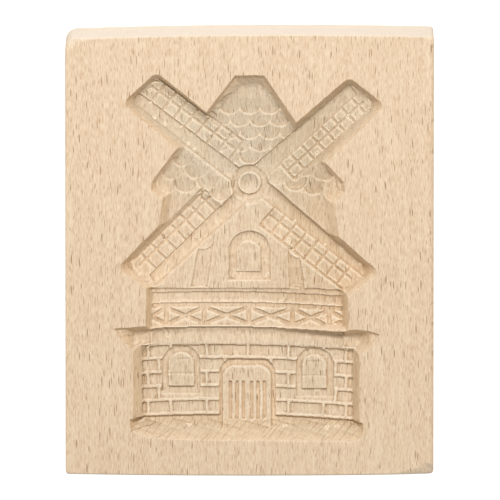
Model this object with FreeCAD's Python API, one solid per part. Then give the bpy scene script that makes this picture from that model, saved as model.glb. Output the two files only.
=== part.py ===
import FreeCAD, Part
import math
import os

os.makedirs("parts", exist_ok=True)
Vector = FreeCAD.Vector

# A wooden mould for pressed biscuits. It lies on its back: z = 0 is the back, the carved face is on top.
# The origin is the middle of the back, +X is the picture's right and +Y is the top of the picture.
# Depths are measured down from the face. The dough is pressed into the hollows, so what is cut deepest
# here stands highest on the biscuit.

# The block
width = 99.0
length = 120.0
thickness = 20.0
end_bow = 0.45           # how far each sawn end swells out at its middle
end_skew = 0.5           # how much lower the upper end is at its left corner
corner_radius = 1.0      # three of the upright corners
worn_corner = 3.4        # the upper left one is sanded rounder
edge_round = 0.6         # sanded edge round the face and the back

# Depths of the carving
tower_depth = 3.2
post_depth = 3.8
window_depth = 4.2
pane_depth = 3.6
lattice_depth = 4.4
bar_depth = 4.85
spar_depth = 5.2
hub_depth = 5.9
cap_depth = 4.2
cap_lip = 1.6            # below this depth the cap's walls lean in gently
rail_depth = 4.3
rail_belly = 4.55
rail_lip_depth = 3.7
brace_depth = 3.7
brace_bar_depth = 4.4
platform_depth = 4.9
platform_lip_depth = 4.3
mortar_depth = 4.5
brick_depth = 5.2
frame_depth = 5.7
glass_depth = 4.7
slot_depth = 5.2
moulding_depth = 5.7
above = 1.0              # how far each cutter stands above the face
margin = 1.0             # how far a course is drawn past the walls that end it
tiny = 0.001

# Walls of the hollows, as the run outwards for each millimetre of depth
wall_slope = 0.40
tower_left_slope = 0.75
tower_right_slope = 0.82
base_slope = 0.70        # left side of the brick base
cap_left_slope = 1.1
cap_top_slope = 1.0
cap_right_slope = 0.8
foot_slope = 0.62
steep = 0.12

# The sails, each in its own frame: u runs out from the hub and v to the clockwise side.
hub_x = 0.0
hub_y = 19.1
spar_root = 1.0
row_pitch = 3.73
bar_width = 0.6
tip_round = 2.2
tip_border = 2.0
# direction, turn of the lattice, spar side of the rim, lattice side at root and tip, length at the spar side
# and at the lattice side, the three long bars, where the lattice begins, first cross bar
sails = (
    (141.0, 1.7, -4.5, 8.3, 8.1, 40.6, 38.8, (1.3, 5.0, 8.0), 7.6, 8.2),
    (41.0, 1.7, -4.6, 9.6, 7.8, 39.5, 41.7, (1.6, 4.5, 7.3), 9.1, 9.7),
    (223.0, 1.7, -4.8, 9.6, 7.8, 38.9, 41.5, (0.8, 4.8, 7.0), 9.2, 11.85),
    (319.0, 2.6, -5.1, 8.7, 6.8, 42.0, 39.7, (0.75, 3.4, 7.0), 8.7, 9.3),
)

# The hub
hub_radius = 4.5         # at its floor
ring_radius = 3.1
ring_wall = 0.5
ring_depth = 4.5
dish_depth = 5.3

# The cap: its rim from the left eave over the top to the right eave, then its lower edge
cap_rim = (
    (-23.9, 15.4), (-26.4, 17.6), (-26.4, 19.9), (-21.0, 27.1), (-11.4, 39.2), (-3.85, 48.9),
    (4.0, 48.9), (13.1, 35.2), (20.7, 24.8), (25.4, 19.9), (25.6, 17.2), (23.6, 14.9),
)
cap_eaves = ((20.0, 17.8), (12.0, 19.1), (0.0, 17.5), (-7.5, 16.6), (-14.0, 19.0), (-21.0, 18.3))
cap_barrel = 150.0       # radius of the dished floor across the cap
shingle_radius = 2.9
shingle_pitch = 5.3
shingle_drop = 3.4       # from one row to the next
shingle_step = 0.75      # depth of each shingle's lower edge below the floor
shingle_lift = 0.25      # height of its upper edge above the floor
shingle_top = 38.0       # lower edge of the first row
shingle_middle = 0.15
shingle_rows = 5
shingle_columns = 2      # to either side of the middle
shingle_reach = 13.1
wing_shingles = (
    (-17.9, 24.0), (-20.8, 20.5), (-14.2, 20.6), (-22.6, 16.5), (-17.2, 16.8), (-11.3, 17.6), (-7.8, 14.7),
    (12.4, 17.4), (17.2, 16.2), (19.8, 20.0), (22.9, 14.7), (14.6, 21.2),
)

# The tower between the cap and the gallery
tower_rim = ((-22.2, 22.0), (-27.8, -12.0), (26.4, -12.0), (21.6, 22.0))
left_post = ((-12.6, 8.0), (-15.8, -9.0), (-11.3, -9.0), (-9.0, 8.0))
right_post = ((10.2, 6.0), (10.7, -9.4), (14.8, -9.4), (13.2, 2.0))
panel_foot = -8.7

# Gallery, platform and brick base lie on curved courses, arcs about one far centre below the mould
course_radius = 450.0
course_middle = -8.0
rail_top = -10.3
rail_foot = -13.2
brace_top = -14.5
brace_foot = -19.05
platform_top = -19.8
platform_foot = -24.4
brick_top = -24.9
brick_pitch = 3.8
mortar = 0.8
courses = 5
moulding_top = brick_top - courses * brick_pitch

gallery_rim = ((-27.8, -8.0), (-27.9, -21.0), (26.7, -21.0), (26.5, -8.0))
brace_posts = (-30.2, -22.4, -12.2, -0.2, 11.6, 21.5, 30.2)
brace_bar = 1.1
brace_post = 1.25
platform_rim = (
    (-27.8, -19.3), (-36.6, -19.9), (-34.6, -22.9), (-31.4, -25.9), (29.5, -27.2), (32.2, -25.2),
    (35.1, -21.6), (32.4, -20.6), (28.9, -20.2), (25.0, -20.5),
)
platform_left = -26.3    # between these two places its upper wall is upright
platform_right = 25.5
base_rim = ((-31.3, -23.5), (-31.3, -47.0), (29.6, -47.0), (29.6, -23.5))
moulding_rim = ((-32.2, -42.0), (-32.2, -47.6), (-26.9, -49.8), (-12.5, -50.3), (30.6, -50.8), (30.6, -42.0))
moulding_rounds = (0, 1.6, 4.0, 0, 3.0, 0)
base_left = -28.9
base_right = 27.8
odd_joints = (-27.3, -21.1, -11.5, -0.4, 10.5, 19.9, 26.0)
even_joints = (-24.4, -6.6, 5.8, 23.2)

# Openings in the base and the tower: left and right side, foot, spring of the arch, top
left_window = (-23.6, -13.2, -38.3, -29.2, -25.2)
left_glass = (-21.8, -14.9, -36.25, -29.6, -27.0)
left_bars = ((-19.5, -16.1, -28.8), (-21.8, -14.9, -32.7))
right_window = (12.5, 22.7, -39.1, -29.8, -25.8)
right_glass = (14.2, 20.7, -36.9, -30.2, -27.6)
right_bars = ((15.8, 19.2, -29.5), (14.2, 20.7, -33.3))
tower_window = (-5.6, 5.6, -7.1, 1.2, 6.2)
tower_glass = (-3.4, 3.0, -4.9, 1.0, 3.6)
glass_bar = 0.5
door = (-8.1, 7.0, -47.0, -32.4, -28.8)
door_leaf = (-7.2, 5.8, -47.65, -33.0, -30.6)
door_shoulder = 4.4
door_slots = 3
slot_pitch = 1.74
slot_width = 0.9
slot_top = -34.8
slot_foot = -45.3
left_slots = -5.1
right_slots = 0.6


def signed_area(points):
    total = 0.0
    for (x0, y0), (x1, y1) in zip(points, points[1:] + points[:1]):
        total += (x0 * y1 - x1 * y0) / 2
    return total


def moved_sides(points, runs):
    """The corners of a polygon after each side has moved inwards by its own run."""
    turn = math.copysign(1.0, signed_area(points))
    lines = []
    for (x0, y0), (x1, y1), run in zip(points, points[1:] + points[:1], runs):
        size = math.hypot(x1 - x0, y1 - y0)
        dx, dy = (x1 - x0) / size, (y1 - y0) / size
        lines.append((x0 - turn * dy * run, y0 + turn * dx * run, dx, dy))
    corners = []
    for (ax, ay, adx, ady), (bx, by, bdx, bdy) in zip(lines[-1:] + lines[:-1], lines):
        cross = adx * bdy - ady * bdx
        along = ((bx - ax) * bdy - (by - ay) * bdx) / cross
        corners.append((ax + along * adx, ay + along * ady))
    return corners


def polygon(points, z):
    """A flat face with straight sides at height z."""
    corners = [Vector(x, y, z) for x, y in points]
    return Part.Face(Part.makePolygon(corners + corners[:1]))


def hollow(rim, depth, slopes, radii=None):
    """A cutter whose outline at the face is the rim and whose flat walls lean in by their slopes."""
    rim = list(rim)
    if not isinstance(slopes, (list, tuple)):
        slopes = [slopes] * len(rim)
    top = moved_sides(rim, [-above * slope for slope in slopes])
    floor = moved_sides(rim, [depth * slope for slope in slopes])
    high, low = thickness + above, thickness - depth
    faces = [polygon(top, high), polygon(floor, low)]
    for i, (x, y) in enumerate(top):
        j = (i + 1) % len(top)
        corners = [Vector(x, y, high), Vector(*top[j], high), Vector(*floor[j], low), Vector(*floor[i], low)]
        faces.append(Part.Face(Part.makePolygon(corners + corners[:1])))
    solid = Part.makeSolid(Part.makeShell(faces))
    for point, radius in zip(floor, radii or []):
        if radius:
            foot = Vector(*point, low)
            edge = [e for e in solid.Edges if e.BoundBox.ZLength > depth and e.distToShape(Part.Vertex(foot))[0] < tiny]
            solid = solid.makeFillet(radius, edge)
    return solid


def prism(points, depth):
    """A straight cutter from a polygon."""
    return polygon(points, thickness - depth).extrude(Vector(0, 0, depth + above))


def strip(start, end, strip_width, depth):
    """A straight groove between two points."""
    size = math.hypot(end[0] - start[0], end[1] - start[1])
    across = (-(end[1] - start[1]) / size * strip_width / 2, (end[0] - start[0]) / size * strip_width / 2)
    return prism(
        [
            (start[0] + across[0], start[1] + across[1]),
            (start[0] - across[0], start[1] - across[1]),
            (end[0] - across[0], end[1] - across[1]),
            (end[0] + across[0], end[1] + across[1]),
        ],
        depth,
    )


def course(profile, left, right):
    """A section of (y, depth) corners swept round the far centre from one x to another."""
    corners = [Vector(course_middle, y, thickness - depth) for y, depth in profile]
    return swept(Part.makePolygon(corners + corners[:1]), left, right)


def swept(section, left, right):
    """A closed wire turned round the far centre from one x to another."""
    centre = Vector(course_middle, -course_radius, 0)
    face = Part.Face(section)
    radius = course_radius + face.CenterOfMass.y
    start = math.degrees((right - course_middle) / radius)
    sweep = math.degrees((right - left) / radius)
    face.rotate(centre, Vector(0, 0, 1), -start)
    return face.revolve(centre, Vector(0, 0, 1), sweep)


def arch(sides, depth):
    """A cutter with upright sides and a round head."""
    left, right, foot, spring, top = sides
    z = thickness - depth
    middle = (left + right) / 2
    feet = [Vector(left, foot, z), Vector(right, foot, z)]
    springs = [Vector(right, spring, z), Vector(left, spring, z)]
    edges = [
        Part.LineSegment(feet[0], feet[1]).toShape(),
        Part.LineSegment(feet[1], springs[0]).toShape(),
        Part.Arc(springs[0], Vector(middle, top, z), springs[1]).toShape(),
        Part.LineSegment(springs[1], feet[0]).toShape(),
    ]
    return Part.Face(Part.Wire(edges)).extrude(Vector(0, 0, depth + above))


def flat_arch(sides, depth):
    """A cutter with upright sides, round shoulders and a flat head."""
    left, right, foot, spring, top = sides
    z = thickness - depth
    rise = top - spring
    lean = door_shoulder * (1 - math.cos(math.radians(45)))
    lift = rise * math.sin(math.radians(45))
    edges = [
        Part.LineSegment(Vector(left, foot, z), Vector(right, foot, z)).toShape(),
        Part.LineSegment(Vector(right, foot, z), Vector(right, spring, z)).toShape(),
        Part.Arc(
            Vector(right, spring, z),
            Vector(right - lean, spring + lift, z),
            Vector(right - door_shoulder, top, z),
        ).toShape(),
        Part.LineSegment(Vector(right - door_shoulder, top, z), Vector(left + door_shoulder, top, z)).toShape(),
        Part.Arc(
            Vector(left + door_shoulder, top, z),
            Vector(left + lean, spring + lift, z),
            Vector(left, spring, z),
        ).toShape(),
        Part.LineSegment(Vector(left, spring, z), Vector(left, foot, z)).toShape(),
    ]
    return Part.Face(Part.Wire(edges)).extrude(Vector(0, 0, depth + above))


def block():
    """The sawn and sanded piece of wood. Its two ends swell a little, its long sides are straight."""
    right, top = width / 2, length / 2 - end_bow
    arcs = [
        corner_arc(-right, -top, corner_radius),
        corner_arc(right, -top, corner_radius),
        corner_arc(right, top, corner_radius),
        corner_arc(-right, top - end_skew, worn_corner),
    ]
    drops = [math.sqrt(length / 2 - point.y) for point in (arcs[2][2], arcs[3][0])]
    summit_x = arcs[2][2].x + (arcs[3][0].x - arcs[2][2].x) * drops[0] / sum(drops)
    edges = [Part.Arc(*arc).toShape() for arc in arcs]
    edges.insert(1, Part.Arc(arcs[0][2], Vector(0, -length / 2, 0), arcs[1][0]).toShape())
    edges.insert(3, Part.LineSegment(arcs[1][2], arcs[2][0]).toShape())
    edges.insert(5, Part.Arc(arcs[2][2], Vector(summit_x, length / 2, 0), arcs[3][0]).toShape())
    edges.append(Part.LineSegment(arcs[3][2], arcs[0][0]).toShape())
    body = Part.Face(Part.Wire(edges)).extrude(Vector(0, 0, thickness))
    rims = [edge for edge in body.Edges if edge.BoundBox.ZLength < tiny]
    return body.makeFillet(edge_round, rims)


def corner_arc(x, y, radius):
    """Start, middle and end of the round at one corner of the block, in the direction that runs round the block."""
    centre = Vector(x - math.copysign(radius, x), y - math.copysign(radius, y), 0)
    on_side, on_end = Vector(x, centre.y, 0), Vector(centre.x, y, 0)
    middle = centre + (Vector(x, y, 0) - centre).normalize() * radius
    return (on_side, middle, on_end) if x * y > 0 else (on_end, middle, on_side)


def sail_frame(direction):
    """A function that turns a sail's own u and v into x and y."""
    ux, uy = math.cos(math.radians(direction)), math.sin(math.radians(direction))
    return lambda u, v: (hub_x + u * ux + v * uy, hub_y + u * uy - v * ux)


def sail(direction, turn, spar_side, root_side, tip_side, spar_tip, lattice_tip, bars, lattice_root, first_row):
    """One sail: the lattice floor, its deeper bars, and the deep strip of the spar."""
    at = sail_frame(direction)
    along = sail_frame(direction + turn)
    rim = [
        at(spar_root, spar_side), at(spar_tip, spar_side), at(lattice_tip, tip_side),
        along(lattice_root, root_side), along(lattice_root, bars[0]), along(spar_root, bars[0]),
    ]
    rounds = [0, tip_round, tip_round, 0, 0, 0]
    slopes = [wall_slope, wall_slope, wall_slope, steep, steep, steep]
    floor = moved_sides(rim, [lattice_depth * slope for slope in slopes])
    spar_edge = bars[0] + bar_width / 2
    last_row = min(spar_tip, lattice_tip) - tip_border
    spar = [floor[0], floor[1], along(spar_tip - tip_border, spar_edge), along(spar_root, spar_edge)]
    cutters = [hollow(rim, lattice_depth, slopes, rounds), prism(spar, spar_depth)]
    for bar in bars[1:]:
        cutters.append(strip(along(lattice_root + bar_width, bar), along(last_row, bar), bar_width, bar_depth))
    for row in range(int((last_row - first_row) / row_pitch) + 1):
        u = first_row + row * row_pitch
        cutters.append(strip(along(u, bars[0]), along(u, bars[2]), bar_width, bar_depth))
    return cutters


def hub():
    """The round hollow at the middle of the sails."""
    height = hub_depth + above
    rim_radius = hub_radius + height * wall_slope
    return Part.makeCone(hub_radius, rim_radius, height, Vector(hub_x, hub_y, thickness - hub_depth))


def hub_ring():
    """The thin raised ring in the hub, with a dished middle."""
    height = hub_depth - ring_depth
    ring = Part.makeCylinder(ring_radius, height, Vector(hub_x, hub_y, thickness - hub_depth))
    inner = ring_radius - ring_wall
    sag = dish_depth - ring_depth
    ball = (inner * inner + sag * sag) / (2 * sag)
    return ring.cut(Part.makeSphere(ball, Vector(hub_x, hub_y, thickness - dish_depth + ball)))


def cap_floor_depth(x):
    return cap_depth - (cap_barrel - math.sqrt(cap_barrel**2 - x**2))


def shingle(x, y):
    """A tilted disc whose lower edge cuts below the cap's floor at (x, y)."""
    tilt = math.asin((shingle_step + shingle_lift) / (2 * shingle_radius))
    low = thickness - cap_floor_depth(x) - shingle_step
    centre = Vector(x, y + shingle_radius * math.cos(tilt), low + shingle_radius * math.sin(tilt))
    axis = Vector(0, -math.sin(tilt), math.cos(tilt))
    return Part.makeCylinder(shingle_radius, cap_depth + above, centre, axis)


def roof(lowered):
    """The gentle lower walls of the cap, which meet its upper walls at the lip, or lie lowered by so much."""
    left, right = cap_rim[2], cap_rim[9]
    outline = [left, cap_rim[5], cap_rim[6], right, (right[0], 0.0), (left[0], 0.0)]
    slopes = [cap_left_slope, cap_top_slope, cap_right_slope] + [steep] * 3
    runs = [cap_lip * (wall_slope - slope) - lowered * slope for slope in slopes[:3]] + [-hub_y] * 3
    return hollow(moved_sides(outline, runs), cap_depth + lowered, slopes)


def cap():
    """The cap: a dished floor with rows of overlapping shingles below its smooth top."""
    barrel = Part.makeCylinder(
        cap_barrel, 2 * length, Vector(0, -length, thickness + cap_barrel - cap_depth), Vector(0, 1, 0)
    )
    slopes = [wall_slope] * len(cap_rim) + [steep] * (len(cap_eaves) - 1) + [wall_slope]
    floor = hollow(cap_rim + cap_eaves, cap_depth, slopes).common(roof(0.0)).common(barrel)
    lowered = tuple((x, y - shingle_pitch) for x, y in cap_eaves)
    field = hollow(cap_rim + lowered, cap_depth + shingle_step, slopes).common(roof(shingle_step))
    shingles = [shingle(x, y) for x, y in wing_shingles]
    for row in range(shingle_rows):
        offset = shingle_middle + (shingle_pitch / 2 if row % 2 else 0)
        for column in range(-shingle_columns, shingle_columns + 1):
            x = offset + column * shingle_pitch
            if abs(x) < shingle_reach:
                shingles.append(shingle(x, shingle_top - row * shingle_drop))
    return [floor, shingles[0].fuse(shingles[1:]).common(field)]


def tower():
    """The shallow tower with its posts and its arched window."""
    cutters = [hollow(tower_rim, tower_depth, [tower_left_slope, steep, tower_right_slope, steep])]
    cutters.append(prism(left_post, post_depth))
    cutters.append(prism(right_post, post_depth))
    foot = course(
        [(panel_foot, -above), (panel_foot, post_depth), (rail_top, post_depth), (rail_top, -above)],
        gallery_rim[0][0], gallery_rim[3][0])
    cutters.append(foot.common(hollow(gallery_rim, post_depth, wall_slope)))
    cutters.append(arch(tower_window, window_depth).cut(arch(tower_glass, window_depth + above)))
    cutters.append(arch(tower_glass, pane_depth))
    return cutters


def gallery():
    """The rail, and the band of crossed braces below it."""
    left, right = gallery_rim[0][0] - margin, gallery_rim[3][0] + margin
    ends = [
        Vector(course_middle, y, thickness - depth)
        for y, depth in ((rail_foot, rail_lip_depth), (rail_foot, -above), (rail_top, -above), (rail_top, rail_depth))
    ]
    belly = Vector(course_middle, (rail_top + rail_foot) / 2, thickness - rail_belly)
    edges = [Part.LineSegment(a, b).toShape() for a, b in zip(ends, ends[1:])]
    rail = swept(Part.Wire(edges + [Part.Arc(ends[3], belly, ends[0]).toShape()]), left, right)
    band = course(
        [
            (rail_foot, -above), (rail_foot, brace_bar_depth), (brace_top, brace_bar_depth), (brace_top, brace_depth),
            (brace_foot, brace_depth), (brace_foot, brace_bar_depth), (platform_top, brace_bar_depth),
            (platform_top, -above),
        ], left, right)
    bars = []
    for here, there in zip(brace_posts, brace_posts[1:]):
        here_drop, there_drop = [(x - course_middle) ** 2 / (2 * course_radius) for x in (here, there)]
        here_top, here_foot = (here, brace_top - here_drop), (here, brace_foot - here_drop)
        there_top, there_foot = (there, brace_top - there_drop), (there, brace_foot - there_drop)
        bars.append(strip(here_foot, there_top, brace_bar, brace_bar_depth))
        bars.append(strip(here_top, there_foot, brace_bar, brace_bar_depth))
        bars.append(strip(here_foot, here_top, brace_post, brace_bar_depth))
    walls = hollow(gallery_rim, brace_bar_depth, wall_slope)
    return [piece.common(walls) for piece in [rail, band] + bars]


def platform():
    """The projecting walkway with its pointed ends."""
    tread = [(platform_top, -above), (platform_top, platform_depth), (platform_foot, platform_lip_depth)]
    under = [(brick_top - mortar, platform_lip_depth), (brick_top - mortar, -above)]
    whole = course(tread + under, platform_rim[1][0] - margin, platform_rim[6][0] + margin)
    middle = course(tread + [(platform_foot, -above)], platform_left, platform_right)
    ends = hollow(platform_rim, platform_lip_depth, wall_slope)
    return [whole.common(hollow(platform_rim, platform_depth, wall_slope)), middle, ends]


def bricks():
    """The courses of bricks, cut below the mortar lines."""
    found = []
    for row in range(courses):
        top = brick_top - row * brick_pitch
        foot = top - brick_pitch + mortar
        joints = odd_joints if row % 2 == 0 else even_joints
        sides = (base_left - mortar / 2,) + joints + (base_right + mortar / 2,)
        for left, right in zip(sides, sides[1:]):
            profile = [(top, -above), (top, brick_depth), (foot, brick_depth), (foot, -above)]
            found.append(course(profile, left + mortar / 2, right - mortar / 2))
    wall = found[0].fuse(found[1:])
    for sides in (left_window, right_window):
        wall = wall.cut(arch(sides, hub_depth))
    return wall.cut(flat_arch(door, hub_depth))


def window(sides, glass, bars):
    """A deep frame round a pane with narrow bars."""
    frame = arch(sides, frame_depth).cut(arch(glass, frame_depth + above))
    cutters = [frame, arch(glass, glass_depth)]
    for left, right, y in bars:
        cutters.append(strip((left, y), (right, y), glass_bar, brick_depth))
    return cutters


def doorway():
    """The door: a narrow deep frame round a leaf with two groups of slots."""
    frame = flat_arch(door, frame_depth).cut(flat_arch(door_leaf, frame_depth + above))
    cutters = [frame, flat_arch(door_leaf, mortar_depth)]
    for first in (left_slots, right_slots):
        for number in range(door_slots):
            x = first + number * slot_pitch
            cutters.append(strip((x, slot_top), (x, slot_foot), slot_width, slot_depth))
    return cutters


def base():
    """The field that the bricks stand in, down to the mortar, and the moulding at its foot."""
    field = hollow(base_rim, mortar_depth, [base_slope, steep, wall_slope, steep])
    below = course(
        [(platform_foot, -above), (platform_foot, mortar_depth), (moulding_top, mortar_depth), (moulding_top, -above)],
        base_rim[0][0] - margin, base_rim[2][0] + margin)
    slopes = [wall_slope, foot_slope, foot_slope, foot_slope, wall_slope, steep]
    moulding = hollow(moulding_rim, moulding_depth, slopes, moulding_rounds)
    band = course(
        [(moulding_top, -above), (moulding_top, moulding_depth), (-length / 2, moulding_depth), (-length / 2, -above)],
        moulding_rim[0][0] - margin, moulding_rim[-1][0] + margin)
    moulding = moulding.common(band).cut(flat_arch(door_leaf, hub_depth))
    return [field.common(below), moulding]


cutters = [hub()] + cap() + tower() + gallery() + platform() + base() + [bricks()] + doorway()
cutters += window(left_window, left_glass, left_bars) + window(right_window, right_glass, right_bars)
for row in sails:
    cutters += sail(*row)

body = block()
mould = body.cut(cutters).fuse(hub_ring()).removeSplitter()
mould_block = mould.Solids[0]
print("solids", len(mould.Solids), "valid", mould_block.isValid(), "volume", round(mould_block.Volume, 1))
mould_block.exportStep("parts/mould_block.step")
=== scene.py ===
import math

import bpy
import numpy as np
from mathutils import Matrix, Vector
from mathutils.bvhtree import BVHTree
from mathutils.geometry import tessellate_polygon


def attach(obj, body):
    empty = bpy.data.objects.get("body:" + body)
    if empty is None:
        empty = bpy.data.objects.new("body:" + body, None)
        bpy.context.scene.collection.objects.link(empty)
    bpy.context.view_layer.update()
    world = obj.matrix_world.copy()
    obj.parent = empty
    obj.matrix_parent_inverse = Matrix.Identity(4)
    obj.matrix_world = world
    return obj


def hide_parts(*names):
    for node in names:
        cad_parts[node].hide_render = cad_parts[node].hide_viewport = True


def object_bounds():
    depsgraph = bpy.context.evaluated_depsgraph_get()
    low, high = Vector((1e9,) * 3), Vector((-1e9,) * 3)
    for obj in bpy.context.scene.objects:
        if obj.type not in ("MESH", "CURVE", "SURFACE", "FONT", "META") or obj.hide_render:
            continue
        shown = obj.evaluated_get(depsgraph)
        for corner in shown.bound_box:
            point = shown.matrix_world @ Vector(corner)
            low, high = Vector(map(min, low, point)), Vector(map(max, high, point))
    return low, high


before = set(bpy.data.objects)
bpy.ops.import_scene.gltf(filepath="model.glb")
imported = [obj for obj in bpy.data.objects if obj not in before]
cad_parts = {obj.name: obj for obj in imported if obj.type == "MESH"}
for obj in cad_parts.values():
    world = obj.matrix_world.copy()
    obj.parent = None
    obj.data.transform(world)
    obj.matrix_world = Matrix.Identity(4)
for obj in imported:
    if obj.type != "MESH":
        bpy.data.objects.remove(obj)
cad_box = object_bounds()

# The wooden mould lies on its back, carved face up, with +Y at the top of the picture.
# Lengths are millimetres until a mesh is made, unless a name ends in _M.
METRE = 1000.0
HALF_WIDTH = cad_box[1][0] * METRE
HALF_LENGTH = cad_box[1][1] * METRE
TOP = cad_box[1][2] * METRE

# The carved surface
GRID_STEP = 0.14           # spacing of the points that read the carving
GRID_MARGIN = 1.2          # flat wood kept round the carving
FACE_EDGE = 3.2            # how far the sides are from any carving at least
LEAST_CUT = 0.05           # a corner this far below the face is part of the carving
RAY_START = 5.0            # height above the face that the reading rays come from
KEPT_TRIANGLES = 186000
FLAT_M = 0.000004          # what lies this close to the face's or the back's plane is part of it

# The hand's and the tool's traces in it. Waves are a seed, a count and the shortest and longest length.
HAND_WAVER = 0.035         # how far a cut edge strays from its drawn line
ACROSS_WAVES = (11, 7, 3.5, 9.0)
ALONG_WAVES = (12, 7, 3.5, 9.0)
TOOL_SOFTNESS = 0.08       # how far the tool and the sanding round an edge
UNEVENNESS = 0.035         # of the cut floors
FLOOR_WAVES = (13, 24, 0.7, 4.0)
UNEVEN_DEPTH = 1.5         # the depth from which a floor is fully uneven

# The cove that the gouge leaves at the foot of a wall
COVE_WIDE = 2.3            # its radius in the sails, the cap and the platform
COVE_NARROW = 0.38         # and in the gallery and the base
COVE_PLACES = ((-27.0, 0.0), (-26.0, 1.0), (-20.4, 1.0), (-19.6, 0.0), (-9.5, 0.0), (-8.0, 1.0))
STEP = 0.85                # steps in a floor that are no higher keep their square foot
STEP_REACH = 2.9           # and so do hollows in it that are no wider than twice this

# The slope at the foot of the base: long flat cuts one under the other, crossed by fine diagonal lines
MARKS_BELOW = -45.2
MARKS_ABOVE = -52.5
FACET_PITCH = 2.3
FACET_LEAN = 0.27
FACET_DEPTH = 0.17
FACET_FADE = 0.5
FACET_START = 0.3
MARK_PITCH = 1.75
MARK_WIDTH = 0.15
MARK_FADE = 0.4
MARK_DEPTH = (0.2, 0.5)
MARK_WAVER = 1.6

# The block's outside
SIDE_POINTS = 0.5          # spacing of the points round the outline
ROUND_STEPS = 7
BACK_ROUND = 0.6
FACE_ROUND = 0.52          # sanding of the face's edge
RIGHT_FROM = 47.0          # the right-hand edge is sanded more
RIGHT_FADE = 2.0
RIGHT_WIDER = 0.5
RIGHT_DEEPER = 0.35
UPPER_LEFT_REACH = 2.6     # and so is the corner at the upper left
UPPER_LEFT_WIDER = 2.9
UPPER_LEFT_DEEPER = 1.1
LOWER_RIGHT_REACH = 10.0   # and the one at the lower right, mostly along its lower edge
LOWER_RIGHT_WIDER = 2.0
LOWER_RIGHT_DEEPER = 0.8
LOWER_RIGHT_UP = 1.0
LOWER_RIGHT_FADE = 1.2
FLATTEST = 0.8             # how flat, rather than round, a worn corner gets

# The wood's tones, and a painted highlight and shade, as the picture shows them, 0 to 255
PALE_BAND = (242, 220, 187)
WARM_BAND = (234, 208, 176)
STREAK = (221, 190, 154)
FIBRE = (214, 182, 146)
SHEEN = (250, 229, 199)
RAY = (158, 124, 90)
SMALL_RAY = (174, 142, 106)
GOUGE_LINE = (168, 136, 100)
END_GRAIN = (243, 234, 220)
# A painted highlight together with pale torn fibres, along the carving's convex edges
PALE_RIM_HIGHLIGHT = (255, 238, 212)
# A painted shade, laid into the carving's concave corners
CREASE_SHADE = (150, 120, 84)

# What the colour is multiplied by in places
SIDE_TINT = (1.0, 0.97, 0.92, 1.0)
SPAR_TINT = (0.90, 0.86, 0.80, 1.0)
UPPER_TINT = (0.90, 0.95, 0.99, 1.0)
BASE_TINT = (0.945, 0.96, 0.97, 1.0)
FOOT_TINT = (0.95, 0.94, 0.90, 1.0)
DUST_TINT = (0.86, 0.86, 0.86, 1.0)

# Those places, each from where it begins to where it is full
INNER_X = (46.0, 44.0)     # away from the block's own sides
INNER_Y = (57.0, 55.0)
SUNK_DEPTH = (1.5, 3.5)    # the carving's floors
UPPER_Y = (8.0, 24.0)      # the cap and the upper sails, rough and greyish
SPAR_X = (3.0, 12.0)       # the sails on the right, tan
SPAR_LOW_Y = (-21.0, -15.0)
SPAR_HIGH_Y = (38.0, 30.0)
BASE_Y = (-21.0, -25.0)    # the bricks, beside the door
DOOR_X = (7.0, 8.5)
FOOT_Y = (-45.0, -46.0)    # the slope under them
FOOT_DEPTH = (0.3, 1.5)
CREASE_SHADE_Y = (-8.0, 0.0)     # the painted shade in concave corners is stronger below this
END_Y = (54.0, 57.0)       # the block's two ends
END_FACING = (0.1, 0.85)
SIDE_FACING = (0.3, 0.9)

# The picture
PICTURE_WIDTH = 134.35     # millimetres across the picture at the face
PICTURE_TILT = 8.8         # degrees between the line of sight and the face's normal
PICTURE_MIDDLE = (0.13, 1.53, 20.0)
LENS = 1500.0
SENSOR = 36.0
CLIP_END_M = 100.0

# The light: most of it comes from beyond the top of the picture
LAMP_DISTANCE_M = 0.80
WORLD_LIGHT = 0.34
WORLD_COLOUR = (1.0, 0.94, 0.86, 1.0)
KEY_ANGLE = 29.0           # degrees from the face's normal
KEY_TURN = -2.0            # degrees from +Y towards -X
KEY_SIZE_M = 0.16
KEY_POWER = 4.4
KEY_COLOUR = (1.0, 0.99, 1.0)
WINDOW_ANGLE = 62.0
WINDOW_TURN = 36.0
WINDOW_SIZE_M = 0.35
WINDOW_POWER = 0.7
WINDOW_COLOUR = (0.75, 0.97, 1.25)
FLOOR_HALF_M = 20.0
FLOOR_WHITE = 0.85
FLOOR_GLOW = 0.8


def read_block(node):
    """The CAD solid's points and faces in millimetres."""
    points = np.empty(len(node.data.vertices) * 3)
    node.data.vertices.foreach_get("co", points)
    return points.reshape(-1, 3) * METRE, [tuple(face.vertices) for face in node.data.polygons]


def waves(x, y, seed, count, shortest, longest):
    """A sum of sine waves of random length, direction and phase, the same each time for one seed."""
    draw = np.random.default_rng(seed)
    total = np.zeros_like(x)
    for _ in range(count):
        length = shortest * (longest / shortest) ** draw.random()
        angle = math.radians(draw.random() * 180.0)
        phase = draw.random() * 2 * math.pi
        along = x * math.cos(angle) + y * math.sin(angle)
        total += 1.0 / math.sqrt(count) * np.sin(2 * math.pi * along / length + phase)
    return total


def blurred(field, sigma):
    """The field after a Gaussian blur of sigma cells."""
    reach = max(1, int(3 * sigma + 0.5))
    kernel = np.exp(-0.5 * (np.arange(-reach, reach + 1) / sigma) ** 2)
    kernel /= kernel.sum()
    for axis in (0, 1):
        padded = np.pad(field, [(reach, reach) if a == axis else (0, 0) for a in (0, 1)], mode="edge")
        size = field.shape[axis]
        field = sum(np.take(padded, range(i, i + size), axis=axis) * w for i, w in enumerate(kernel))
    return field


def under_ball(radius, flat):
    """Grid offsets under a ball, or a flat disc, each with the height of its underside there."""
    reach = int(radius / GRID_STEP)
    found = []
    for i in range(-reach, reach + 1):
        for j in range(-reach, reach + 1):
            away = GRID_STEP * math.hypot(i, j)
            if away <= radius:
                found.append((i, j, 0.0 if flat else radius - math.sqrt(radius**2 - away**2)))
    return reach, found


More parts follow.
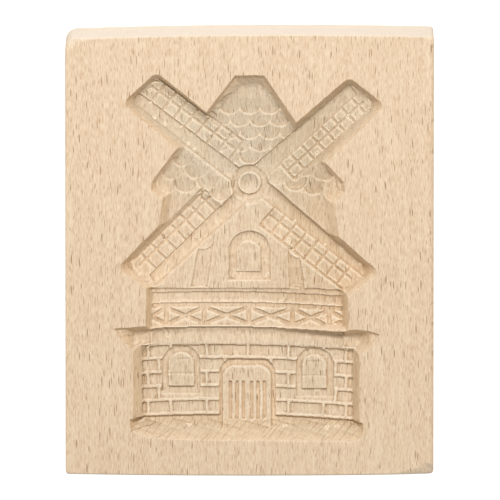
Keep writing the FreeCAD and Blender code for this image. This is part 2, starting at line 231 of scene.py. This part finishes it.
def rolled(z, radius, flat=False):
    """The surface that a ball or a flat disc leaves when it can't get any lower into the heights z."""
    reach, offsets = under_ball(radius, flat)
    rows, columns = z.shape
    for keep, sign in ((np.maximum, -1.0), (np.minimum, 1.0)):
        padded = np.pad(z, reach, mode="edge")
        z = z.copy()
        for i, j, rise in offsets:
            moved = padded[reach + i:reach + i + rows, reach + j:reach + j + columns]
            keep(z, moved + sign * rise, out=z)
    return z


def coved(y, z):
    """The heights with a round cove at the foot of each wall. Low steps and shallow grooves stay."""
    broad = np.minimum(rolled(z, STEP_REACH, flat=True), z + STEP)
    share = np.interp(y, *zip(*COVE_PLACES))
    return share * (z - broad + rolled(broad, COVE_WIDE)) + (1.0 - share) * rolled(z, COVE_NARROW)


def carving_box(points, faces):
    """Two corners of a rectangle that holds the carving, from the solid's own faces."""
    reach = points.max(axis=0) - FACE_EDGE
    cut = []
    for corners in (points[list(face)] for face in faces):
        low = corners[:, 2].min()
        if TOP / 2 < low < TOP - LEAST_CUT and (np.abs(corners[:, :2]) < reach[:2]).all():
            cut.append(corners)
    cut = np.concatenate(cut)
    return cut.min(axis=0) - GRID_MARGIN, cut.max(axis=0) + GRID_MARGIN


def carved_heights(box, tree):
    """The carved face as a grid of heights: x, y and z of every grid point."""
    low, high = box
    columns = int((high[0] - low[0]) / GRID_STEP) + 2
    rows = int((high[1] - low[1]) / GRID_STEP) + 2
    x, y = np.meshgrid(np.linspace(low[0], high[0], columns), np.linspace(low[1], high[1], rows))
    across = x + HAND_WAVER * waves(x, y, *ACROSS_WAVES)
    along = y + HAND_WAVER * waves(x, y, *ALONG_WAVES)
    down = Vector((0, 0, -1))
    z = np.empty(x.size)
    for i, (px, py) in enumerate(zip(across.ravel().tolist(), along.ravel().tolist())):
        z[i] = tree.ray_cast((px, py, TOP + RAY_START), down)[0].z
    z = z.reshape(x.shape)
    z = blurred(coved(y, z), TOOL_SOFTNESS / GRID_STEP)
    depth = np.clip(TOP - z, 0.0, None)
    uneven = UNEVENNESS * waves(x, y, *FLOOR_WAVES)
    z += uneven * np.clip(depth / UNEVEN_DEPTH, 0.0, 1.0)
    z -= flat_cuts(x, y, depth)
    z = np.minimum(z, TOP)
    z[0, :] = z[-1, :] = TOP
    z[:, 0] = z[:, -1] = TOP
    return x, y, z


def flat_cuts(x, y, depth):
    """How much the long flat cuts on the slope at the foot of the base take away."""
    cuts = (y + FACET_LEAN * x) / FACET_PITCH % 1.0
    low = np.clip((MARKS_BELOW - y) / FACET_FADE, 0.0, 1.0)
    return FACET_DEPTH * cuts * low * np.clip(depth - FACET_START, 0.0, 1.0)


def edge_wear(x, y):
    """Width and depth of the sanding along the face's edge at a point of the outline, and how flat it is."""
    upper_left = math.hypot(x + HALF_WIDTH, y - HALF_LENGTH)
    lower_right = math.hypot(x - HALF_WIDTH, y + HALF_LENGTH)
    on_right = max(0.0, min(1.0, (x - RIGHT_FROM) / RIGHT_FADE))
    left_wear = math.exp(-upper_left / UPPER_LEFT_REACH)
    right_wear = max(0.0, 1.0 - lower_right / LOWER_RIGHT_REACH)
    if on_right > 0.5:
        above = max(0.0, y + HALF_LENGTH - LOWER_RIGHT_UP)
        right_wear *= math.exp(-(above / LOWER_RIGHT_FADE) ** 2)
    wide = FACE_ROUND + RIGHT_WIDER * on_right
    wide += UPPER_LEFT_WIDER * left_wear + LOWER_RIGHT_WIDER * right_wear
    deep = FACE_ROUND + RIGHT_DEEPER * on_right
    deep += UPPER_LEFT_DEEPER * left_wear + LOWER_RIGHT_DEEPER * right_wear
    return wide, deep, min(left_wear + right_wear, FLATTEST)


def outline(tree):
    """Points round the block at half its height, anticlockwise from the lower left."""
    path = []
    corners = [(sx * HALF_WIDTH, sy * HALF_LENGTH) for sx, sy in ((-1, -1), (1, -1), (1, 1), (-1, 1))]
    for (x0, y0), (x1, y1) in zip(corners, corners[1:] + corners[:1]):
        count = int(max(abs(x1 - x0), abs(y1 - y0)) / SIDE_POINTS)
        for i in range(count):
            path.append((x0 + (x1 - x0) * i / count, y0 + (y1 - y0) * i / count))
    middle = Vector((0.0, 0.0, TOP / 2))
    found = []
    for x, y in path:
        hit = tree.ray_cast(middle, Vector((x, y, 0.0)).normalized())[0]
        found.append((hit.x, hit.y))
    return found


def drawn_in(x, y, inwards):
    """A point of the outline, moved towards the block's middle."""
    return x * (1 - inwards / HALF_WIDTH), y * (1 - inwards / HALF_LENGTH)


def shell(path):
    """Rings from the face's edge down the side to the back, each a list of points."""
    rings = []
    for step in range(ROUND_STEPS, -1, -1):
        angle = math.pi / 2 * step / ROUND_STEPS
        ring = []
        for x, y in path:
            wide, deep, flat = edge_wear(x, y)
            inwards = wide * ((1 - flat) * (1 - math.cos(angle)) + flat * step / ROUND_STEPS)
            down = deep * ((1 - flat) * (1 - math.sin(angle)) + flat * (1 - step / ROUND_STEPS))
            ring.append((*drawn_in(x, y, inwards), TOP - down))
        rings.append(ring)
    for step in range(0, ROUND_STEPS + 1):
        angle = math.pi / 2 * step / ROUND_STEPS
        inwards, up = BACK_ROUND * (1 - math.cos(angle)), BACK_ROUND * (1 - math.sin(angle))
        rings.append([(*drawn_in(x, y, inwards), up) for x, y in path])
    return rings


def grid_faces(index):
    """Two triangles for each cell of the grid."""
    a, b = index[:-1, :-1].ravel(), index[:-1, 1:].ravel()
    c, d = index[1:, 1:].ravel(), index[1:, :-1].ravel()
    return np.concatenate([np.stack([a, b, c], axis=1), np.stack([a, c, d], axis=1)]).tolist()


def ring_faces(rings):
    """Triangles between each ring of points and the next."""
    found = []
    for upper, lower in zip(rings, rings[1:]):
        size = len(upper)
        for i in range(size):
            j = (i + 1) % size
            found += [(upper[i], lower[i], lower[j]), (upper[i], lower[j], upper[j])]
    return found


def filled(vertices, loops, up):
    """Triangles that fill a flat outline with holes, facing up (1) or down (-1)."""
    numbers = [i for loop in loops for i in loop]
    corners = [[Vector(vertices[i]) for i in loop] for loop in loops]
    turned = []
    for i, j, k in (tuple(numbers[n] for n in triangle) for triangle in tessellate_polygon(corners)):
        p, q, r = vertices[i], vertices[j], vertices[k]
        area = (q[0] - p[0]) * (r[1] - p[1]) - (q[1] - p[1]) * (r[0] - p[0])
        turned.append((i, j, k) if area * up > 0 else (i, k, j))
    return turned


def mould_mesh(node):
    """The carved block as one closed mesh: the grid, the plain face round it, the sides and the back."""
    points, faces = read_block(node)
    tree = BVHTree.FromPolygons(points.tolist(), faces)
    x, y, z = carved_heights(carving_box(points, faces), tree)
    index = np.arange(x.size).reshape(x.shape)
    border = list(index[0, :-1]) + list(index[:-1, -1]) + list(index[-1, :0:-1]) + list(index[:0:-1, 0])
    border = [int(i) for i in border]

    rings = shell(outline(tree))
    size = len(rings[0])
    numbers = [[x.size + k * size + i for i in range(size)] for k in range(len(rings))]
    grid = np.stack([x.ravel(), y.ravel(), z.ravel()], axis=1)
    vertices = np.concatenate([grid, np.array(rings).reshape(-1, 3)])
    faces = grid_faces(index) + ring_faces(numbers)
    faces += filled(vertices, [numbers[0], border], 1) + filled(vertices, [numbers[-1]], -1)

    mesh = bpy.data.meshes.new("carved_mould")
    mesh.from_pydata((vertices / METRE).tolist(), [], faces)
    mesh.validate()
    return mesh


def applied(piece):
    """Applies the piece's modifiers to its mesh."""
    graph = bpy.context.evaluated_depsgraph_get()
    old = piece.data
    piece.data = bpy.data.meshes.new_from_object(piece.evaluated_get(graph))
    piece.modifiers.clear()
    bpy.data.meshes.remove(old)


def carved_mould(node):
    """The wooden mould that stands for the CAD solid."""
    mesh = mould_mesh(node)
    piece = bpy.data.objects.new("carved_mould", mesh)
    bpy.context.collection.objects.link(piece)
    thin = piece.modifiers.new("thin", "DECIMATE")
    thin.ratio = KEPT_TRIANGLES / len(mesh.polygons)
    applied(piece)
    smooth(piece.data)
    return piece


def smooth(mesh):
    """Smooth shading, with the uncut face and the back kept flat up to their edges."""
    mesh.polygons.foreach_set("use_smooth", [True] * len(mesh.polygons))
    places = np.empty(len(mesh.vertices) * 3)
    mesh.vertices.foreach_get("co", places)
    height = places.reshape(-1, 3)[:, 2]
    normals = np.empty(len(mesh.vertices) * 3)
    mesh.vertex_normals.foreach_get("vector", normals)
    normals = normals.reshape(-1, 3)
    normals[height > height.max() - FLAT_M] = (0.0, 0.0, 1.0)
    normals[height < height.min() + FLAT_M] = (0.0, 0.0, -1.0)
    mesh.normals_split_custom_set_from_vertices(normals)


class Nodes:
    """A small helper that adds nodes to a material's tree."""

    def __init__(self, material):
        material.use_nodes = True
        self.tree = material.node_tree
        self.tree.nodes.clear()

    def add(self, kind, inputs=None, **settings):
        node = self.tree.nodes.new(kind)
        for name, value in settings.items():
            setattr(node, name, value)
        for name, value in (inputs or {}).items():
            if isinstance(value, bpy.types.NodeSocket):
                self.tree.links.new(value, node.inputs[name])
            else:
                node.inputs[name].default_value = value
        return node

    def math(self, operation, first, second=0.0, clamp=False):
        settings = {"operation": operation, "use_clamp": clamp}
        return self.add("ShaderNodeMath", {0: first, 1: second}, **settings).outputs[0]

    def vector(self, operation, first, second):
        return self.add("ShaderNodeVectorMath", {0: first, 1: second}, operation=operation).outputs[0]

    def times(self, *factors):
        product = factors[0]
        for factor in factors[1:]:
            product = self.math("MULTIPLY", product, factor)
        return product

    def size(self, value):
        return self.math("ABSOLUTE", value)

    def split(self, vector):
        return list(self.add("ShaderNodeSeparateXYZ", {0: vector}).outputs)

    def mix(self, factor, first, second, blend="MIX"):
        settings = {"data_type": "RGBA", "blend_type": blend}
        return self.add("ShaderNodeMix", {0: factor, 6: first, 7: second}, **settings).outputs[2]

    def noise(self, place, scale, detail=2.0, roughness=0.5):
        inputs = {
            "Vector": self.vector("MULTIPLY", place, scale),
            "Scale": 1.0,
            "Detail": detail,
            "Roughness": roughness,
        }
        return self.add("ShaderNodeTexNoise", inputs).outputs["Fac"]

    def ramp(self, value, low, high, to_low=0.0, to_high=1.0):
        inputs = {"Value": value, "From Min": low, "From Max": high, "To Min": to_low, "To Max": to_high}
        return self.add("ShaderNodeMapRange", inputs).outputs["Result"]


def linear(tone):
    """A colour given as the picture shows it, 0 to 255, in the renderer's own scale."""
    scaled = [c / 255.0 for c in tone]
    return [c / 12.92 if c <= 0.04045 else ((c + 0.055) / 1.055) ** 2.4 for c in scaled] + [1.0]


def flecks(nodes, place, cell, longest, shown, offset):
    """Dark spindles along the grain, the cut ends of the rays. A share of the cells shows one."""
    x, y, z = nodes.split(place)
    flat = nodes.add("ShaderNodeCombineXYZ", {0: nodes.math("ADD", x, z), 1: y}).outputs[0]
    moved = nodes.vector("ADD", flat, offset)
    stretched = nodes.vector("MULTIPLY", moved, tuple(1.0 / side for side in cell))
    cells = nodes.add("ShaderNodeTexVoronoi", {"Vector": stretched, "Scale": 1.0}, voronoi_dimensions="2D")
    chance = nodes.add("ShaderNodeSeparateColor", {"Color": cells.outputs["Color"]})
    size = nodes.ramp(chance.outputs[0], 1.0 - shown, 1.0, 0.0, longest)
    inside = nodes.math("SUBTRACT", size, cells.outputs["Distance"])
    mask = nodes.math("DIVIDE", inside, 0.3 * longest, clamp=True)
    return nodes.times(mask, nodes.ramp(chance.outputs[1], 0.0, 1.0, 0.45, 1.0))


def gouge_lines(nodes, place, depth):
    """Fine diagonal lines on the slope at the foot of the base."""
    x, y, _ = nodes.split(place)
    waver = nodes.times(nodes.noise(place, (0.1, 0.1, 0.1), 1.0), MARK_WAVER)
    across = nodes.math("ADD", nodes.math("SUBTRACT", x, y), waver)
    turns = nodes.math("DIVIDE", across, MARK_PITCH * math.sqrt(2.0))
    away = nodes.size(nodes.math("SUBTRACT", nodes.math("FRACT", turns), 0.5))
    return nodes.times(
        nodes.ramp(away, MARK_WIDTH / MARK_PITCH, 0.0),
        nodes.ramp(nodes.noise(place, (0.3, 0.3, 0.3), 1.0), 0.35, 0.6),
        nodes.ramp(y, MARKS_BELOW + MARK_FADE, MARKS_BELOW),
        nodes.ramp(depth, *MARK_DEPTH),
        nodes.ramp(y, MARKS_ABOVE - MARK_FADE, MARKS_ABOVE),
    )


def zones(nodes, place, normal):
    """The places where the wood has another tone, and the strength of the painted shade in concave corners,
    each as a share from 0 to 1.
    """
    x, y, z = nodes.split(place)
    facing_x, facing_y, _ = nodes.split(normal)
    depth = nodes.math("SUBTRACT", TOP, z)
    inner = nodes.times(nodes.ramp(nodes.size(y), *INNER_Y), nodes.ramp(nodes.size(x), *INNER_X))
    sunk = nodes.times(inner, nodes.ramp(depth, *SUNK_DEPTH))
    right = nodes.times(nodes.ramp(x, *SPAR_X), nodes.ramp(y, *SPAR_LOW_Y), nodes.ramp(y, *SPAR_HIGH_Y))
    end = nodes.ramp(nodes.size(facing_y), *END_FACING)
    return {
        "sunk": sunk,
        "upper": nodes.times(sunk, nodes.ramp(y, *UPPER_Y, 0.15, 1.0)),
        "spars": nodes.times(sunk, right),
        "base": nodes.times(sunk, nodes.ramp(y, *BASE_Y), nodes.ramp(nodes.size(x), *DOOR_X)),
        "foot": nodes.times(nodes.ramp(y, *FOOT_Y), nodes.ramp(depth, *FOOT_DEPTH), inner),
        "lines": nodes.times(gouge_lines(nodes, place, depth), inner),
        # how strongly the concave corners get the painted shade
        "crease_shade_share": nodes.ramp(y, *CREASE_SHADE_Y, 0.65, 0.38),
        "side": nodes.ramp(nodes.size(facing_x), *SIDE_FACING),
        "end": nodes.times(end, nodes.ramp(nodes.size(y), *END_Y, 0.15, 1.0)),
    }


def bent(nodes, place):
    """Places along a grain that isn't quite straight."""
    bend = nodes.math("SUBTRACT", nodes.noise(place, (0.05, 0.009, 0.05), 1.0), 0.5)
    shift = nodes.add("ShaderNodeCombineXYZ", {0: nodes.times(bend, 5.0)}).outputs[0]
    return nodes.vector("ADD", place, shift)


def grain(nodes, place, zone):
    """The grain's colour, and its relief as a height."""
    bands = nodes.noise(place, (0.16, 0.008, 0.12), 2.0)
    streaks = nodes.noise(place, (0.75, 0.045, 0.4), 2.0, 0.6)
    fibre = nodes.noise(place, (1.7, 0.12, 0.9), 3.0, 0.6)
    fine = nodes.noise(place, (3.8, 0.5, 2.6), 2.0, 0.6)
    off_end = nodes.ramp(zone["end"], 0.3, 0.7, 1.0, 0.0)
    rays = nodes.times(flecks(nodes, place, (0.66, 6.4, 1.0), 0.25, 0.46, (0.0, 0.0, 0.0)), off_end)
    small = nodes.times(flecks(nodes, place, (0.50, 3.6, 1.0), 0.25, 0.75, (31.0, 17.0, 0.0)), off_end)

    colour = nodes.mix(nodes.ramp(bands, 0.3, 0.7), linear(PALE_BAND), linear(WARM_BAND))
    for share, tone in (
        (nodes.ramp(streaks, 0.35, 0.7), STREAK),
        (nodes.ramp(fibre, 0.35, 0.7, 0.0, 0.8), FIBRE),
        (nodes.ramp(fine, 0.35, 0.65, 0.0, 0.8), SHEEN),
        (nodes.times(rays, 0.95), RAY),
        (nodes.times(small, 0.65), SMALL_RAY),
        (nodes.times(zone["lines"], 0.75), GOUGE_LINE),
        (nodes.times(zone["end"], 0.5), END_GRAIN),
    ):
        colour = nodes.mix(share, colour, linear(tone))
    relief = nodes.math("ADD", nodes.times(fibre, 0.5), nodes.times(fine, 0.5))
    return colour, nodes.math("SUBTRACT", relief, nodes.times(rays, 0.5))


def beech():
    """Close-grained pale wood, with its grain along Y."""
    material = bpy.data.materials.new("beech")
    nodes = Nodes(material)
    position = nodes.add("ShaderNodeTexCoord").outputs
    place = nodes.vector("MULTIPLY", position["Object"], (METRE, METRE, METRE))
    zone = zones(nodes, place, position["Normal"])
    place = bent(nodes, place)
    colour, relief = grain(nodes, place, zone)
    fuzz = nodes.noise(place, (3.0, 3.0, 3.0), 3.0, 0.7)
    dust = nodes.times(nodes.ramp(zone["upper"], 0.0, 1.0, 0.0, 0.9), nodes.ramp(fuzz, 0.38, 0.62))
    for share, tint in (
        (zone["side"], SIDE_TINT),
        (zone["spars"], SPAR_TINT),
        (zone["upper"], UPPER_TINT),
        (zone["base"], BASE_TINT),
        (zone["foot"], FOOT_TINT),
        (dust, DUST_TINT),
    ):
        colour = nodes.mix(share, colour, tint, "MULTIPLY")

    # Convex edges are lighter, from pale torn fibres and a painted highlight, and concave corners get a
    # painted shade
    point = nodes.add("ShaderNodeNewGeometry").outputs["Pointiness"]
    # Painted highlight, partly pale torn fibres: the carving's convex edges are lightened
    edges = nodes.times(nodes.ramp(point, 0.505, 0.55, 0.0, 0.75), nodes.ramp(point, 0.60, 0.565))
    rim_highlights = nodes.times(edges, zone["sunk"])
    colour = nodes.mix(rim_highlights, colour, linear(PALE_RIM_HIGHLIGHT))
    # Painted shade: concave corners are darkened
    painted_crease_shade = nodes.times(nodes.ramp(point, 0.495, 0.43), zone["crease_shade_share"])
    colour = nodes.mix(painted_crease_shade, colour, linear(CREASE_SHADE))

    relief = nodes.math("ADD", relief, nodes.times(zone["sunk"], fuzz))
    bump = nodes.add("ShaderNodeBump", {"Height": relief, "Strength": 0.4, "Distance": 0.00012}).outputs[0]
    finish = {"Base Color": colour, "Normal": bump, "Roughness": 0.62, "Specular IOR Level": 0.25}
    shader = nodes.add("ShaderNodeBsdfPrincipled", finish)
    nodes.add("ShaderNodeOutputMaterial", {"Surface": shader.outputs[0]})
    return material


def white_floor():
    """A plain white floor that keeps the object's shadow."""
    material = bpy.data.materials.new("floor")
    nodes = Nodes(material)
    path = nodes.add("ShaderNodeLightPath")
    seen = nodes.math("ADD", path.outputs["Is Camera Ray"], path.outputs["Is Glossy Ray"], clamp=True)
    white = (1.0, 1.0, 1.0, 1.0)
    plain = nodes.add("ShaderNodeBsdfDiffuse", {"Color": (FLOOR_WHITE, FLOOR_WHITE, FLOOR_WHITE, 1.0)})
    glow = nodes.add("ShaderNodeEmission", {"Color": white, "Strength": nodes.times(seen, FLOOR_GLOW)})
    both = nodes.add("ShaderNodeAddShader", {0: plain.outputs[0], 1: glow.outputs[0]})
    nodes.add("ShaderNodeOutputMaterial", {"Surface": both.outputs[0]})

    mesh = bpy.data.meshes.new("floor")
    half = FLOOR_HALF_M
    corners = [(-half, -half, 0), (half, -half, 0), (half, half, 0), (-half, half, 0)]
    mesh.from_pydata(corners, [], [(0, 1, 2, 3)])
    floor = bpy.data.objects.new("floor", mesh)
    mesh.materials.append(material)
    bpy.context.collection.objects.link(floor)


def white_world():
    """Even light from all round, and white behind the floor."""
    world = bpy.data.worlds.new("white")
    bpy.context.scene.world = world
    nodes = Nodes(world)
    path = nodes.add("ShaderNodeLightPath")
    strength = nodes.ramp(path.outputs["Is Camera Ray"], 0.0, 1.0, WORLD_LIGHT, 1.0)
    colour = nodes.mix(path.outputs["Is Camera Ray"], WORLD_COLOUR, (1.0, 1.0, 1.0, 1.0))
    sky = nodes.add("ShaderNodeBackground", {"Color": colour, "Strength": strength})
    nodes.add("ShaderNodeOutputWorld", {"Surface": sky.outputs[0]})


def lamp(name, angle, turn, size, power, colour):
    """A square lamp on the side of +Y that looks at the middle of the face."""
    light = bpy.data.lights.new(name, "AREA")
    light.size = size
    light.energy = power
    light.color = colour
    holder = bpy.data.objects.new(name, light)
    tilt, turn = math.radians(angle), math.radians(turn)
    reach = LAMP_DISTANCE_M * math.sin(tilt)
    height = TOP / METRE + LAMP_DISTANCE_M * math.cos(tilt)
    holder.location = (-reach * math.sin(turn), reach * math.cos(turn), height)
    holder.rotation_euler = (-tilt, 0.0, turn)
    holder.visible_camera = False
    bpy.context.collection.objects.link(holder)


def camera():
    """The photograph's own view: nearly square to the face, from a little above its upper end."""
    data = bpy.data.cameras.new("camera")
    data.lens = LENS
    data.sensor_width = SENSOR
    data.clip_end = CLIP_END_M
    distance = PICTURE_WIDTH * LENS / SENSOR / METRE
    tilt = math.radians(PICTURE_TILT)
    eye = bpy.data.objects.new("camera", data)
    x, y, z = (side / METRE for side in PICTURE_MIDDLE)
    eye.location = (x, y + distance * math.sin(tilt), z + distance * math.cos(tilt))
    eye.rotation_euler = (-tilt, 0.0, 0.0)
    bpy.context.collection.objects.link(eye)
    bpy.context.scene.camera = eye


mould = carved_mould(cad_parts["mould_block"])
mould.data.materials.append(beech())
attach(mould, "root")
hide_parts("mould_block")
white_floor()
white_world()
lamp("key", KEY_ANGLE, KEY_TURN, KEY_SIZE_M, KEY_POWER, KEY_COLOUR)
lamp("window", WINDOW_ANGLE, WINDOW_TURN, WINDOW_SIZE_M, WINDOW_POWER, WINDOW_COLOUR)
camera()
bpy.context.scene.view_settings.view_transform = "Standard"
